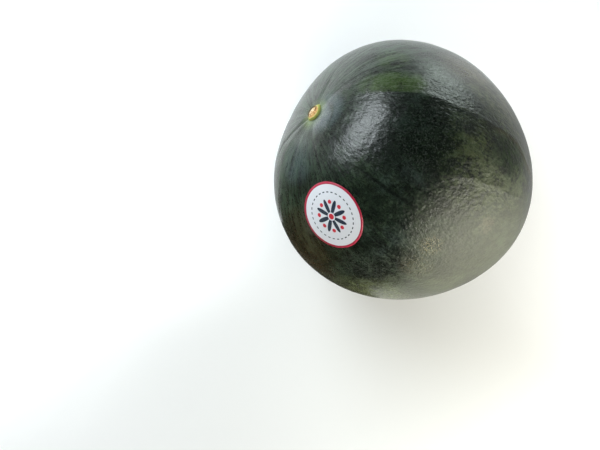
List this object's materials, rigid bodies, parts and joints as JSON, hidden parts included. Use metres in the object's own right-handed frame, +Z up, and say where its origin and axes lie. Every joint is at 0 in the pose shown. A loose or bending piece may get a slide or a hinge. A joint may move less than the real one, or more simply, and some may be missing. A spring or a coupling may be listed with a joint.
{
  "type": "watermelon",
  "caption": "Whole dark-skinned seedless watermelon, nearly round, lying on its side, with a corky stem stub and a round paper label.",
  "frame": {"origin": "centre of the bounding box's footprint, at the level of the flat resting spot", "axes": "+Z up; the stem end points along -X and 37 degrees above the horizon; the label is on the -X, -Y side, above the middle"},
  "size_m": [0.2178, 0.2238, 0.2157],
  "materials": {
    "rind": "waxy dark green skin, mottled, with a thin grey bloom",
    "stem_cork": "dry corky stem tissue with a yellow-green collar",
    "label_paper": "satin coated white paper with a red rim"
  },
  "bodies": {
    "root": {"fruit": "rind", "stem_stub": "stem_cork", "label": "label_paper"}
  },
  "joints": []
}
